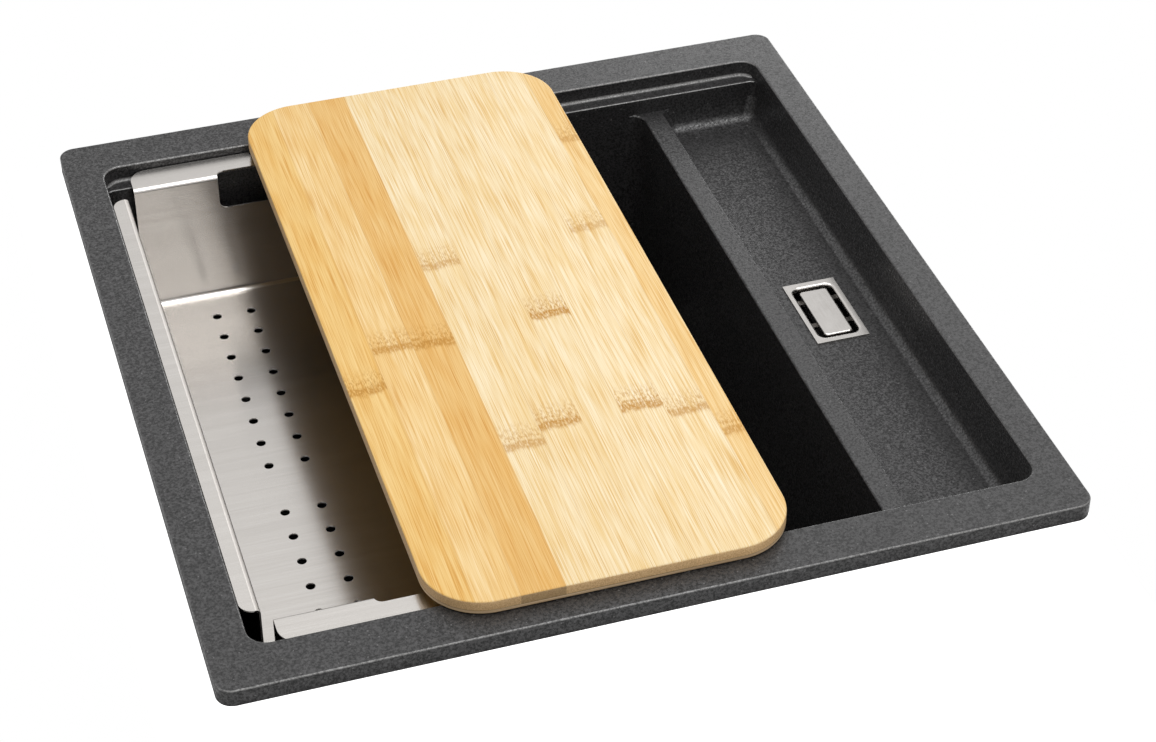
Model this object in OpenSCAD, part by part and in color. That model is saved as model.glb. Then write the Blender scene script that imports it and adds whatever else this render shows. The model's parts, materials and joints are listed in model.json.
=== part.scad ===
// Workstation kitchen sink: a granite composite inset sink with a bowl, a low divider and a trough,
// a folded steel colander and a bamboo board that slide across it, and its waste and overflow fittings.
// Millimetres. The origin is the centre of the worktop cut-out, on the worktop's top face, which the
// underside of the rim rests on. +X points from the bowl to the trough, +Y to the back, +Z up.

/* [Rim] */
// Width of the sink, from the bowl side to the trough side
sink_w = 510; // [500:1:530]
// Depth of the sink, from the front rim to the back rim
sink_d = 540; // [536:1:560]
// Height of the rim above the worktop
rim_t = 11; // [9:0.5:12]
// Radius of the rim's corners in plan
rim_corner_r = 10; // [6:1:16]
// Radius of the rim's eased top edge
rim_edge_r = 1; // [0.5:0.5:3]
// Width of the rim beside the bowl
rim_left = 24.5; // [22:0.5:28]
// Width of the rim beside the trough
rim_right = 21.5; // [20:0.5:28]
// Width of the rim at the front and at the back
rim_end = 31.5; // [29:0.5:34]
// Corner radius of the opening inside the rim
opening_r = 12; // [10:1:16]
// Width of the eased edge round the opening
opening_ease = 0.8; // [0.4:0.2:1.6]

/* [Ledge, bowl and trough] */
// Depth of the accessory ledge below the rim's top
ledge_drop = 11.5; // [10:0.5:13]
// Width of the accessory ledge
ledge_w = 10.5; // [8:0.5:12]
// Radius of the ledge's inner edge
ledge_edge_r = 1.5; // [0.5:0.5:2]
// Depth of the bowl below the rim's top
bowl_depth = 200; // [180:5:215]
// Upright corner radius of the bowl
bowl_r = 10; // [8:1:14]
// Radius between the bowl's floor and its walls
bowl_foot_r = 22; // [16:1:26]
// How far each bowl wall leans in at the floor
bowl_lean = 5; // [2:0.5:8]
// Left face of the divider between bowl and trough
divider_x = 147.5; // [140:0.5:150]
// Thickness of the divider at its top
divider_t = 15; // [12:0.5:16]
// Depth of the divider's top below the rim's top
divider_drop = 23; // [20:0.5:26]
// Radius of the divider's upper edge beside the bowl
bowl_edge_r = 2; // [1:0.5:4]
// Radius of the divider's upper edge beside the trough
trough_edge_r = 1; // [0.5:0.5:2]
// Depth of the trough's floor below the rim's top
trough_depth = 39.5; // [36:0.5:44]
// Radius between the trough's floor and its walls
trough_foot_r = 8; // [5:1:10]
// Thickness of the composite walls and floors
wall_t = 8.5; // [7:0.5:10]

/* [Chopping board] */
// Width of the board, along the rim
board_w = 214; // [180:1:230]
// Length of the board, from front to back
board_l = 518; // [510:1:525]
// Thickness of the board
board_t = 9.5; // [9:0.5:15]
// Corner radius of the board in plan
board_r = 36; // [20:1:50]
// Place of the board's middle when the sink is at rest
board_x = -24.6; // [-60:0.1:60]
// How far the board sits back from the middle of the sink
board_y = 4.5; // [0:0.5:5]

/* [Colander] */
// Thickness of the steel sheet
sheet_t = 1; // [0.8:0.1:1.2]
// Inside width of the tray
tray_w = 214; // [200:1:230]
// Inside depth of the tray, from front wall to back wall
tray_d = 430; // [424:1:432]
// Left wall of the tray at rest, inside face
tray_x = -218.5; // [-218.5:0.1:-217]
// Height of the flange's top below the rim's top
flange_drop = 5.5; // [5:0.5:7]
// Depth of the tray's floor below the rim's top
tray_drop = 101.5; // [80:0.5:120]
// Width of the side flanges
side_flange_w = 11; // [8:0.5:11]
// Diameter of a drain hole
drain_d = 6; // [4:0.5:8]
// Distance between drain holes
drain_pitch = 23.6; // [22:0.1:24]
// Length of the hand slots
hand_slot_l = 91; // [80:1:120]
// How far the hand slots reach down the walls, from the flange's top
hand_slot_h = 26; // [22:0.5:34]

/* [Waste] */
// Middle of the waste, along the width
waste_x = -42; // [-60:1:-20]
// Radius of the hole in the bowl's floor
waste_hole_r = 45; // [44:0.5:46]
// Outside radius of the threaded outlet
outlet_r = 23.9; // [23.8:0.05:24]
// Length of the outlet's thread
outlet_l = 24; // [20:1:30]

/* [Overflow] */
// Middle of the overflow, along the width
overflow_x = 195.5; // [193:0.5:197]
// Middle of the overflow, along the depth
overflow_y = -6; // [-20:1:20]
// Width of the overflow's frame
frame_w = 35.5; // [34:0.5:38]
// Length of the overflow's frame
frame_l = 63.7; // [60:0.1:66]
// Width of the cover plate
cover_w = 19.2; // [18:0.1:20]
// Length of the cover plate
cover_l = 47.8; // [46:0.1:49]
// How far the cover plate sits forward of the frame's middle
cover_shift = 0.6; // [0:0.1:1]
// Bend radius of the overflow hose
hose_bend_r = 96; // [80:1:100]

/* [Fixing clips] */
// Distance of the clips from the middle of the sink, along the width
clip_x = 150; // [120:1:170]
// Thickness of the worktop that the clips are set for
worktop_t = 40; // [38:1:42]

/* [Hidden] */
$fn = 64;
eps = 0.01;
hull_fn = 32;

granite_c = [0.27, 0.27, 0.28];
steel_c = [0.82, 0.80, 0.79];
bamboo_c = [0.91, 0.76, 0.48];
rubber_c = [0.12, 0.12, 0.12];
plastic_c = [0.86, 0.86, 0.84];
brass_c = [0.80, 0.63, 0.30];

// The opening inside the rim and the faces of the ledge, the divider and the floors
open_x0 = -sink_w / 2 + rim_left;
open_x1 = sink_w / 2 - rim_right;
open_y = sink_d / 2 - rim_end;
inner_y = open_y - ledge_w;
inner_r = 5.5;
ledge_z = rim_t - ledge_drop;
divider_z = rim_t - divider_drop;
trough_z = rim_t - trough_depth;
trough_x = divider_x + divider_t;
trough_r = 7;
trough_lean = 2;
bowl_z = rim_t - bowl_depth;
collar_h = 14;
edge_overlap = 1;

// Seal in the groove under the rim
seal_w = 6;
seal_t = 2;
seal_inset = 2.5;

// Clips: a boss on the outside of the collar, and a jaw on a screw below it
clip_y = open_y + wall_t + 5;
boss_r = 7;
boss_z = -34;
insert_r = 4;
insert_h = 12;
clip_screw_r = 2.5;
pivot_gap = 0.08;
jaw_t = 2.5;
jaw_w = 16;
jaw_reach = 18;
jaw_heel = 7;
jaw_z = -worktop_t - 10;

// Waste: recess in the floor, seals, flange, body
dish_r = 120;
dish_h = 3;
flange_r = 57;
recess_z = bowl_z - dish_h - 2;
pad_z = recess_z - 8;
top_seal_t = 1.5;
steel_t = 1.5;
flange_z = recess_z + top_seal_t;
strainer_z = recess_z - 34;
low_seal_t = 2.5;
body_top_z = pad_z - low_seal_t;
body_low_z = body_top_z - 42;
outlet_bore_r = 20;
inlet_z = body_top_z - 24;
inlet_end_x = waste_x + 70;
waste_screw_r = 3;
seal_disc_t = 3.5;
basket_z = strainer_z + steel_t + seal_disc_t;

// Overflow: slot through the trough floor, frame, cover, housing
frame_t = 1;
collar_t = 0.9;
frame_in_w = 27.1;
frame_in_l = 53.6;
frame_in_r = 5;
slot_gap = 0.6;
trough_under_z = trough_z - wall_t;
gasket_t = 2;
housing_z = trough_under_z - gasket_t;
spigot_z = -85;
spigot_bore_r = 9;
spigot_r = 12;
overflow_screw_y = 17;
collar_z = trough_z - 6;
tab_t = 1;

// Overflow hose: ribs of one pitch, swept down, round one bend and along to the waste body
hose_r = 12;
hose_root_r = 10.2;
hose_bore_r = 9;
rib_pitch = 5;
hose_end = 2 * hose_r;
hose_down = spigot_z - (inlet_z + hose_bend_r);
hose_arc = hose_bend_r * PI / 2;
hose_along = (overflow_x - hose_bend_r) - inlet_end_x;
hose_l = hose_down + hose_arc + hose_along;
rib_count = floor((hose_l - 2 * hose_end) / rib_pitch);
hose_sides = 8;

// Colander
flange_z_top = rim_t - flange_drop;
tray_z = rim_t - tray_drop;
tray_mid_x = tray_x + tray_w / 2;
tray_y = tray_d / 2;
end_flange_w = open_y - 1 - tray_y;
fold_r = 2;
floor_bend_r = 4;
corner_gap = 5;
side_end = 8;

// Rounded rectangle between two x values, the same distance to the front and to the back
module rounded_rect(x0, x1, half_y, r) {
    translate([x0 + r, -half_y]) square([x1 - x0 - 2 * r, 2 * half_y]);
    translate([x0, r - half_y]) square([x1 - x0, 2 * (half_y - r)]);
    for (x = [x0 + r, x1 - r], y = [r - half_y, half_y - r]) translate([x, y]) circle(r);
}

// Flat slab with that outline
module slab(x0, x1, half_y, r, z0, z1) {
    translate([0, 0, z0]) linear_extrude(z1 - z0) rounded_rect(x0, x1, half_y, r);
}

// Slab with its top edge rounded over, and its bottom edge too if low_r is not 0
module eased_slab(x0, x1, half_y, r, z0, z1, edge_r, low_r) {
    hull() for (x = [x0 + r, x1 - r], y = [r - half_y, half_y - r]) translate([x, y, 0]) {
        translate([0, 0, z1 - edge_r]) rotate_extrude($fn = 48)
            translate([r - edge_r, 0]) circle(edge_r, $fn = 16);
        translate([0, 0, z0]) cylinder(h = eps, r = r - low_r, $fn = 48);
        translate([0, 0, z0 + low_r]) cylinder(h = eps, r = r, $fn = 48);
    }
}

// Tub-shaped solid with leaning walls and a rounded foot. A sphere of flat faces ends short of its
// radius at its poles, so its centre is set lower by that much.
module tub(x0, x1, half_y, r, z_top, z_low, foot_r, lean) {
    reach = foot_r * cos(180 / hull_fn);
    hull() {
        for (x = [x0 + r, x1 - r], y = [r - half_y, half_y - r])
            translate([x, y, z_top - 1]) cylinder(h = 1, r = r, $fn = hull_fn);
        for (x = [x0 + lean + foot_r, x1 - lean - foot_r],
             y = [lean + foot_r - half_y, half_y - lean - foot_r])
            translate([x, y, z_low + reach]) sphere(foot_r, $fn = hull_fn);
    }
}

// Ring about the z axis
module ring(r_in, r_out, z0, z1) {
    translate([0, 0, z0]) difference() {
        cylinder(h = z1 - z0, r = r_out);
        translate([0, 0, -1]) cylinder(h = z1 - z0 + 2, r = r_in);
    }
}

module at_waste() translate([waste_x, 0, 0]) children();
module at_overflow() translate([overflow_x, overflow_y, 0]) children();
module at_clips() for (x = [-clip_x, clip_x], y = [-clip_y, clip_y]) translate([x, y, 0]) children();

// ---- Sink ----

// Outside of the casting: rim, collar below it, shoulder, bowl, trough, clip bosses and waste pad
module sink_outside() {
    eased_slab(-sink_w / 2, sink_w / 2, sink_d / 2, rim_corner_r, 0, rim_t, rim_edge_r, 0);
    slab(open_x0 - wall_t, open_x1 + wall_t, open_y + wall_t, opening_r + wall_t, -collar_h, eps);
    hull() {
        slab(open_x0 - wall_t, open_x1 + wall_t, open_y + wall_t, opening_r + wall_t,
             -collar_h - eps, -collar_h);
        slab(open_x0 - wall_t, open_x1 + wall_t, inner_y + wall_t, inner_r + wall_t,
             -collar_h - ledge_w, -collar_h - ledge_w + eps);
    }
    tub(open_x0 - wall_t, divider_x + wall_t, inner_y + wall_t, bowl_r + wall_t, -collar_h,
        bowl_z - wall_t - 2, bowl_foot_r + wall_t, bowl_lean);
    tub(divider_x, open_x1 + wall_t, inner_y + wall_t, inner_r + wall_t, -collar_h,
        trough_under_z, trough_foot_r, trough_lean);
    at_clips() translate([0, 0, boss_z]) cylinder(h = -boss_z + eps, r = boss_r);
    for (x = [-clip_x, clip_x], side = [-1, 1])
        translate([x - 3, side * (inner_y + wall_t + 6) - 6, boss_z + 8])
            cube([6, 12, -boss_z - 8 + eps]);
    at_waste() translate([0, 0, pad_z]) cylinder(h = 8, r = 66);
}

// Eased edge round the opening, wider at the rim's top
module opening_edge() {
    hull() {
        slab(open_x0, open_x1, open_y, opening_r, rim_t - opening_ease - eps, rim_t - opening_ease);
        slab(open_x0 - opening_ease, open_x1 + opening_ease, open_y + opening_ease,
             opening_r + opening_ease, rim_t, rim_t + eps);
    }
}

// Section of a cutter that rounds over an upper edge at the origin, with the opening on its left. Its
// arc is of short flats that start and end just outside the edge's two faces.
module edge_section(r) {
    side_gap = 0.3;
    top_gap = 0.03 * r;
    flats = 8;
    polygon(concat(
        [[-edge_overlap, top_gap - r], [-edge_overlap, top_gap + eps], [r - side_gap, top_gap + eps]],
        [for (i = [flats : -1 : 0]) let (a = 90 * i / flats)
            [r - side_gap - r * cos(a), top_gap - r + r * sin(a)]]));
}

// Part of a quarter ring of that section, about the z axis in the first quadrant
module edge_corner(corner_r, r, low_y, high_y) {
    intersection() {
        rotate_extrude() translate([corner_r, 0]) edge_section(r);
        translate([0, low_y, -r]) cube([corner_r + r, high_y - low_y, 2 * r]);
    }
}

// Cutter for the ledge's inner edge at the back: it ends in the corners, where the ledge narrows
module ledge_edge() {
    end_y = sqrt(2 * inner_r * ledge_edge_r + pow(ledge_edge_r, 2));
    translate([open_x0 + inner_r, inner_y, ledge_z]) rotate([90, 0, 90])
        linear_extrude(open_x1 - open_x0 - 2 * inner_r) edge_section(ledge_edge_r);
    for (side = [0, 1])
        translate([side == 1 ? open_x1 - inner_r : open_x0 + inner_r, inner_y - inner_r, ledge_z])
            mirror([1 - side, 0, 0]) edge_corner(inner_r, ledge_edge_r, end_y, inner_r + ledge_edge_r);
}

// Cutter for one upper edge of the divider, at x = 0 with the divider on its right, and for the
// corners that the edge runs out in
module divider_edge(corner_r, edge_r) {
    straight_y = inner_y - corner_r;
    translate([0, straight_y, divider_z]) rotate([90, 0, 0])
        linear_extrude(2 * straight_y) edge_section(edge_r);
    for (side = [0, 1]) mirror([0, side, 0]) translate([-corner_r, straight_y, divider_z])
        edge_corner(corner_r, edge_r, 0, corner_r);
}

module sink_body() {
    color(granite_c) difference() {
        sink_outside();
        slab(open_x0, open_x1, open_y, opening_r, ledge_z, rim_t + 1);
        opening_edge();
        slab(open_x0, open_x1, inner_y, inner_r, divider_z, ledge_z + 1);
        tub(open_x0, divider_x, inner_y, bowl_r, divider_z + eps, bowl_z, bowl_foot_r, bowl_lean);
        tub(trough_x, open_x1, inner_y, trough_r, divider_z + eps, trough_z, trough_foot_r, trough_lean);
        ledge_edge();
        mirror([0, 1, 0]) ledge_edge();
        translate([divider_x, 0, 0]) divider_edge(bowl_r, bowl_edge_r);
        translate([trough_x, 0, 0]) mirror([1, 0, 0]) divider_edge(trough_r, trough_edge_r);
        at_waste() {
            translate([0, 0, bowl_z - dish_h]) cylinder(h = dish_h + eps, r1 = flange_r + 6, r2 = dish_r);
            translate([0, 0, recess_z]) cylinder(h = dish_h + 2, r = flange_r + 1);
            translate([0, 0, pad_z - 5]) cylinder(h = 20, r = waste_hole_r);
        }
        at_overflow() overflow_outline(frame_in_w + 2 * (collar_t + slot_gap),
                                       frame_in_l + 2 * (collar_t + slot_gap),
                                       frame_in_r + collar_t + slot_gap,
                                       trough_under_z - 5, trough_z + 5);
        seal_groove(0);
        at_clips() translate([0, 0, boss_z - 1]) cylinder(h = insert_h + 1, r = insert_r);
    }
}

module seal_groove(gap) {
    difference() {
        slab(seal_inset - sink_w / 2 + gap, sink_w / 2 - seal_inset - gap,
             sink_d / 2 - seal_inset - gap, rim_corner_r - gap, gap > 0 ? 0 : -1, seal_t);
        slab(seal_inset + seal_w - sink_w / 2 - gap, sink_w / 2 - seal_inset - seal_w + gap,
             sink_d / 2 - seal_inset - seal_w + gap, rim_corner_r, -2, seal_t + 1);
    }
}

module rim_seal() {
    color(rubber_c) seal_groove(0.2);
}

// ---- Fixing clips ----

module clip_inserts() {
    color(brass_c) at_clips() ring(clip_screw_r + 0.05, insert_r, boss_z, boss_z + insert_h);
}

module clip_screws() {
    head_z = jaw_z - 0.1;
    color(steel_c) at_clips() difference() {
        union() {
            translate([0, 0, head_z]) cylinder(h = boss_z + insert_h - 2 - head_z, r = clip_screw_r);
            translate([0, 0, head_z - 1.2]) cylinder(h = 1.2 + eps, r = 6);
            translate([0, 0, head_z - 4.8]) cylinder(h = 3.6 + eps, r = 4.6, $fn = 6);
        }
        translate([-0.6, -5, head_z - 5.8]) cube([1.2, 10, 2]);
    }
}

// Pressed strap on the clip's screw: an eye, a toe that reaches out to the worktop's underside and a
// heel that bears on the boss. It points along +Y from its pivot.
module clip_jaw() {
    toe_h = -worktop_t - jaw_z;
    heel_h = boss_z - 0.3 - jaw_z;
    difference() {
        intersection() {
            translate([-jaw_w / 2, 0, jaw_z]) rotate([90, 0, 90]) linear_extrude(jaw_w) {
                translate([-jaw_heel, 0]) square([jaw_heel + jaw_reach, jaw_t]);
                translate([jaw_reach - jaw_t, 0]) square([jaw_t, toe_h]);
                polygon([[jaw_reach - jaw_t, jaw_t], [jaw_reach - jaw_t, jaw_t + 3],
                         [jaw_reach - jaw_t - 3, jaw_t]]);
                translate([-jaw_heel, 0]) square([jaw_t, heel_h]);
            }
            translate([0, 0, jaw_z - 1]) linear_extrude(20) {
                circle(jaw_w / 2);
                translate([-jaw_w / 2, 0]) square([jaw_w, jaw_reach]);
            }
        }
        translate([0, 0, jaw_z - 1]) cylinder(h = jaw_t + 2, r = clip_screw_r + pivot_gap);
        translate([-2, jaw_reach - jaw_t - 1, -worktop_t - 2]) cube([4, jaw_t + 2, 3]);
    }
}

module placed_jaw(side_x, side_y) {
    color(steel_c) translate([side_x * clip_x, side_y * clip_y, 0]) rotate(side_y > 0 ? 0 : 180) clip_jaw();
}

module clip_jaw_front_left() placed_jaw(-1, -1);
module clip_jaw_front_right() placed_jaw(1, -1);
module clip_jaw_back_left() placed_jaw(-1, 1);
module clip_jaw_back_right() placed_jaw(1, 1);

// ---- Waste ----

// Pressed strainer: flange in the recess, straight wall, conical seat for the basket's seal and a
// perforated bottom that the centre screw goes through
module waste_flange() {
    throat_r = waste_hole_r - 1.5;
    seat_r = 30;
    color(steel_c) at_waste() difference() {
        rotate_extrude() polygon([
            [waste_screw_r + 0.1, strainer_z], [seat_r + 1, strainer_z], [throat_r - 2, strainer_z + 9],
            [throat_r, flange_z - 3], [throat_r, flange_z], [flange_r, flange_z],
            [flange_r, flange_z + 0.6], [flange_r - 2, flange_z + steel_t],
            [throat_r, flange_z + steel_t], [throat_r - steel_t, flange_z + 0.4],
            [throat_r - steel_t, flange_z - 3], [throat_r - 2 - steel_t, strainer_z + 10],
            [seat_r, strainer_z + steel_t], [waste_screw_r + 0.1, strainer_z + steel_t]]);
        for (a = [0 : 30 : 330]) rotate(a) translate([22, 0, strainer_z - 1]) cylinder(h = 4, r = 3.5);
        for (a = [15 : 60 : 315]) rotate(a) translate([14, 0, strainer_z - 1]) cylinder(h = 4, r = 2.5);
    }
}

module waste_top_seal() {
    color(rubber_c) at_waste() ring(waste_hole_r + 1, flange_r - 1, recess_z, flange_z);
}

module waste_bottom_seal() {
    color(rubber_c) at_waste() ring(waste_hole_r + 1, 62, body_top_z, pad_z);
}

// Moulded body: clamping flange, cup, funnel, threaded outlet, side inlet and a cross that the centre
// screw is driven into
module waste_body() {
    cup_r = 50;
    cup_t = 3;
    hub_r = 7;
    hub_z = strainer_z - 22;
    color(plastic_c) at_waste() {
        difference() {
            union() {
                rotate_extrude() polygon([
                    [0, body_low_z - outlet_l - 14], [outlet_r, body_low_z - outlet_l - 14],
                    [outlet_r, body_low_z - 14], [outlet_r + 3, body_low_z - 14],
                    [outlet_r + 3, body_low_z - 10], [cup_r, body_low_z + 12], [cup_r, body_top_z - 5],
                    [63, body_top_z - 5], [63, body_top_z], [0, body_top_z]]);
                translate([cup_r - 6, 0, inlet_z]) rotate([0, 90, 0])
                    cylinder(h = inlet_end_x - waste_x - cup_r + 6, r = spigot_r);
            }
            rotate_extrude() polygon([
                [0, body_low_z - outlet_l - 15], [outlet_bore_r, body_low_z - outlet_l - 15],
                [outlet_bore_r, body_low_z - 9], [cup_r - cup_t, body_low_z + 13],
                [cup_r - cup_t, body_top_z + 1], [0, body_top_z + 1]]);
            translate([cup_r - 12, 0, inlet_z]) rotate([0, 90, 0])
                cylinder(h = inlet_end_x - waste_x, r = spigot_bore_r);
        }
        difference() {
            union() {
                translate([0, 0, hub_z]) cylinder(h = strainer_z - hub_z, r = hub_r);
                intersection() {
                    for (a = [45, 135]) rotate(a) translate([-60, -1.5, hub_z - 4]) cube([120, 3, 14]);
                    rotate_extrude() polygon([
                        [0, body_low_z - 20], [outlet_bore_r + 1, body_low_z - 20],
                        [outlet_bore_r + 1, body_low_z - 9], [cup_r - 1, body_low_z + 13],
                        [cup_r - 1, body_top_z - 2], [0, body_top_z - 2]]);
                }
            }
            translate([0, 0, hub_z - 5]) cylinder(h = strainer_z - hub_z + 6, r = waste_screw_r + 0.05);
        }
    }
}

module waste_screw() {
    color(steel_c) at_waste() difference() {
        union() {
            translate([0, 0, strainer_z + steel_t]) cylinder(h = 2, r = 7);
            translate([0, 0, strainer_z - 18]) cylinder(h = 18 + steel_t + eps, r = waste_screw_r);
        }
        translate([-0.7, -8, strainer_z + steel_t + 1]) cube([1.4, 16, 2]);
    }
}

// Lift-out basket: a pressed cup with drain holes in its wall and a lip to lift it by
module basket_cup() {
    low_z = basket_z;
    top_z = flange_z + 1;
    color(steel_c) at_waste() difference() {
        rotate_extrude() polygon([
            [2.5, low_z], [27.5, low_z], [30, low_z + 2.5], [37.5, top_z - 1], [40.5, top_z - 1],
            [40.5, top_z], [36.7, top_z], [29.1, low_z + 2.8], [27.1, low_z + 1], [2.5, low_z + 1]]);
        for (a = [0 : 20 : 340], row = [0 : 2]) rotate(a + 10 * row)
            translate([26, 0, low_z + 8 + 7 * row]) rotate([0, 90, 0]) cylinder(h = 14, r = 2.1);
    }
}

module basket_knob() {
    foot_z = basket_z + 1;
    color(steel_c) at_waste() rotate_extrude() polygon([
        [0, basket_z - 0.8], [2.4, basket_z - 0.8], [2.4, foot_z], [5, foot_z], [5, foot_z + 2],
        [2.6, foot_z + 4], [2.6, foot_z + 22], [9, foot_z + 24], [11, foot_z + 26.5],
        [11, foot_z + 29], [9.5, foot_z + 31], [0, foot_z + 31.5]]);
}

// Rubber disc under the basket that closes the strainer's holes, hollow over the centre screw's head
module basket_seal() {
    color(rubber_c) at_waste() difference() {
        translate([0, 0, strainer_z + steel_t]) cylinder(h = seal_disc_t, r = 27);
        translate([0, 0, strainer_z]) cylinder(h = steel_t + 2.5, r = 8.5);
        translate([0, 0, strainer_z]) cylinder(h = 10, r = 2.5);
    }
}

// ---- Overflow ----

module overflow_outline(w, l, r, z0, z1) slab(-w / 2, w / 2, l / 2, r, z0, z1);

// Pressed frame: sharp-cornered face, drawn collar with round corners, four rests for the cover and
// two end tabs that the screws go through
module overflow_frame() {
    color(steel_c) at_overflow() difference() {
        union() {
            translate([-frame_w / 2, -frame_l / 2, trough_z]) cube([frame_w, frame_l, frame_t]);
            overflow_outline(frame_in_w + 2 * collar_t, frame_in_l + 2 * collar_t,
                             frame_in_r + collar_t, collar_z, trough_z + frame_t);
        }
        difference() {
            overflow_outline(frame_in_w, frame_in_l, frame_in_r, collar_z - 1, trough_z + frame_t + 1);
            for (side = [-1, 1]) {
                for (y = [-6, 19]) translate([side * 11.5 - 3.5, y - 2, collar_z - 2])
                    cube([7, 4, 2 + tab_t]);
                translate([-6, side * 21.5 - 9, collar_z - 2]) cube([12, 18, 2 + tab_t]);
            }
        }
        for (side = [-1, 1]) translate([0, side * overflow_screw_y, collar_z - 2]) cylinder(h = 5, r = 2.1);
    }
}

// Cover plate with its edges turned down to the rests, and two pairs of legs that keep it central
module overflow_cover() {
    top_z = trough_z + 0.7;
    low_z = collar_z + tab_t;
    color(steel_c) at_overflow() translate([0, -cover_shift, 0]) {
        difference() {
            overflow_outline(cover_w, cover_l, 2.5, low_z, top_z);
            overflow_outline(cover_w - 2.4, cover_l - 2.4, 1.5, low_z - 1, top_z - 1.2);
        }
        for (side = [-1, 1], y = [-15, 15]) translate([side * 6.7 - 0.4, y - 3, top_z - 11])
            cube([0.8, 6, 10]);
    }
}

module overflow_gasket() {
    color(rubber_c) at_overflow() difference() {
        overflow_outline(44, 70, 8, housing_z, trough_under_z);
        overflow_outline(frame_in_w + 4, frame_in_l + 4, 6, housing_z - 1, trough_under_z + 1);
    }
}

// Moulded funnel under the trough, with a round spigot for the hose
module overflow_housing() {
    funnel_z = -64;
    wall = 2.5;
    color(plastic_c) difference() {
        union() {
            at_overflow() overflow_outline(44, 70, 8, housing_z - 4, housing_z);
            hull() {
                at_overflow() overflow_outline(frame_in_w + 2 * wall, frame_in_l + 2 * wall, 6,
                                               housing_z - 8, housing_z - 3.9);
                translate([overflow_x, 0, funnel_z]) cylinder(h = 1, r = spigot_r, $fn = hull_fn);
            }
            translate([overflow_x, 0, spigot_z]) cylinder(h = funnel_z - spigot_z + 0.5, r = spigot_r);
        }
        difference() {
            hull() {
                at_overflow() overflow_outline(frame_in_w, frame_in_l, 4, housing_z - 8, housing_z + 1);
                translate([overflow_x, 0, funnel_z + wall]) cylinder(h = 1, r = spigot_bore_r, $fn = hull_fn);
            }
            at_overflow() for (side = [-1, 1]) {
                translate([0, side * overflow_screw_y, housing_z - 14]) cylinder(h = 12, r = 4);
                translate([-1.5, side * (overflow_screw_y + 8) - 6, housing_z - 14]) cube([3, 12, 12]);
            }
        }
        translate([overflow_x, 0, spigot_z - 1]) cylinder(h = 26, r = spigot_bore_r);
        at_overflow() for (side = [-1, 1])
            translate([0, side * overflow_screw_y, housing_z - 12]) cylinder(h = 20, r = 1.85);
    }
}

module overflow_screws() {
    tab_z = collar_z + tab_t;
    color(steel_c) at_overflow() for (side = [-1, 1]) translate([0, side * overflow_screw_y, 0])
        difference() {
            union() {
                translate([0, 0, housing_z - 10]) cylinder(h = tab_z - housing_z + 10.5, r = 1.8);
                translate([0, 0, tab_z]) cylinder(h = 1.6, r = 3.4);
            }
            translate([-0.5, -4, tab_z + 0.8]) cube([1, 8, 2]);
        }
}

// Place on the hose's centre line at a length s from its upper end, and the direction there as an
// angle from straight down to along -X
function hose_point(s) =
    s < hose_down ? [overflow_x, 0, spigot_z - s]
    : s < hose_down + hose_arc
        ? [overflow_x - hose_bend_r + hose_bend_r * cos(hose_turn(s)), 0,
           inlet_z + hose_bend_r - hose_bend_r * sin(hose_turn(s))]
        : [overflow_x - hose_bend_r - (s - hose_down - hose_arc), 0, inlet_z];
function hose_turn(s) = min(90, max(0, (s - hose_down) / hose_bend_r * 180 / PI));

// Ring of points square to the centre line
function hose_ring(s, r) = [for (i = [0 : hose_sides - 1])
    let (a = 360 * i / hose_sides, t = hose_turn(s))
    hose_point(s) + r * [cos(a) * cos(t), sin(a), -cos(a) * sin(t)]];

// Lengths and radii down the outside: a smooth cuff, ribs as crest and root, a smooth cuff
hose_ribs_l = rib_count * rib_pitch;
hose_cuff = (hose_l - hose_ribs_l) / 2;
hose_outside = concat(
    [[0, hose_r], [hose_cuff - 1, hose_r]],
    [for (i = [0 : rib_count - 1], k = [0, 1])
        [hose_cuff + rib_pitch * (i + k / 2 + 0.25), k == 0 ? hose_root_r : hose_r]],
    [[hose_l - hose_cuff + 1, hose_r], [hose_l, hose_r]]);
hose_inside = [for (i = [0 : 1 : 24]) [hose_l * (24 - i) / 24, hose_bore_r]];
hose_skin = concat(hose_outside, hose_inside);

module overflow_hose() {
    n = len(hose_skin);
    points = [for (p = hose_skin) each hose_ring(p[0], p[1])];
    color(plastic_c) polyhedron(points, [for (k = [0 : n - 1], i = [0 : hose_sides - 1])
        let (j = (i + 1) % hose_sides, m = (k + 1) % n)
        each [[k * hose_sides + i, k * hose_sides + j, m * hose_sides + j],
              [k * hose_sides + i, m * hose_sides + j, m * hose_sides + i]]], convexity = 8);
}

// Union nut with grip ribs, about the z axis, closed end down
module hose_nut() {
    color(plastic_c) difference() {
        union() {
            cylinder(h = 16, r = 17);
            for (a = [0 : 30 : 330]) rotate(a) translate([16, -1.5, 0]) cube([2.5, 3, 16]);
        }
        translate([0, 0, 3]) cylinder(h = 14, r = spigot_r + 0.1);
        translate([0, 0, -1]) cylinder(h = 5, r = hose_r + 0.1);
    }
}

module hose_nut_upper() {
    translate([overflow_x, 0, spigot_z - 5]) hose_nut();
}

module hose_nut_lower() {
    translate([inlet_end_x + 5, 0, inlet_z]) rotate([0, -90, 0]) hose_nut();
}

// ---- Colander ----

// Quarter of a bent sheet, about the origin, in the first quadrant
module bend(r_in) {
    difference() {
        intersection() {
            circle(r_in + sheet_t);
            square(r_in + sheet_t);
        }
        circle(r_in);
    }
}

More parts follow.
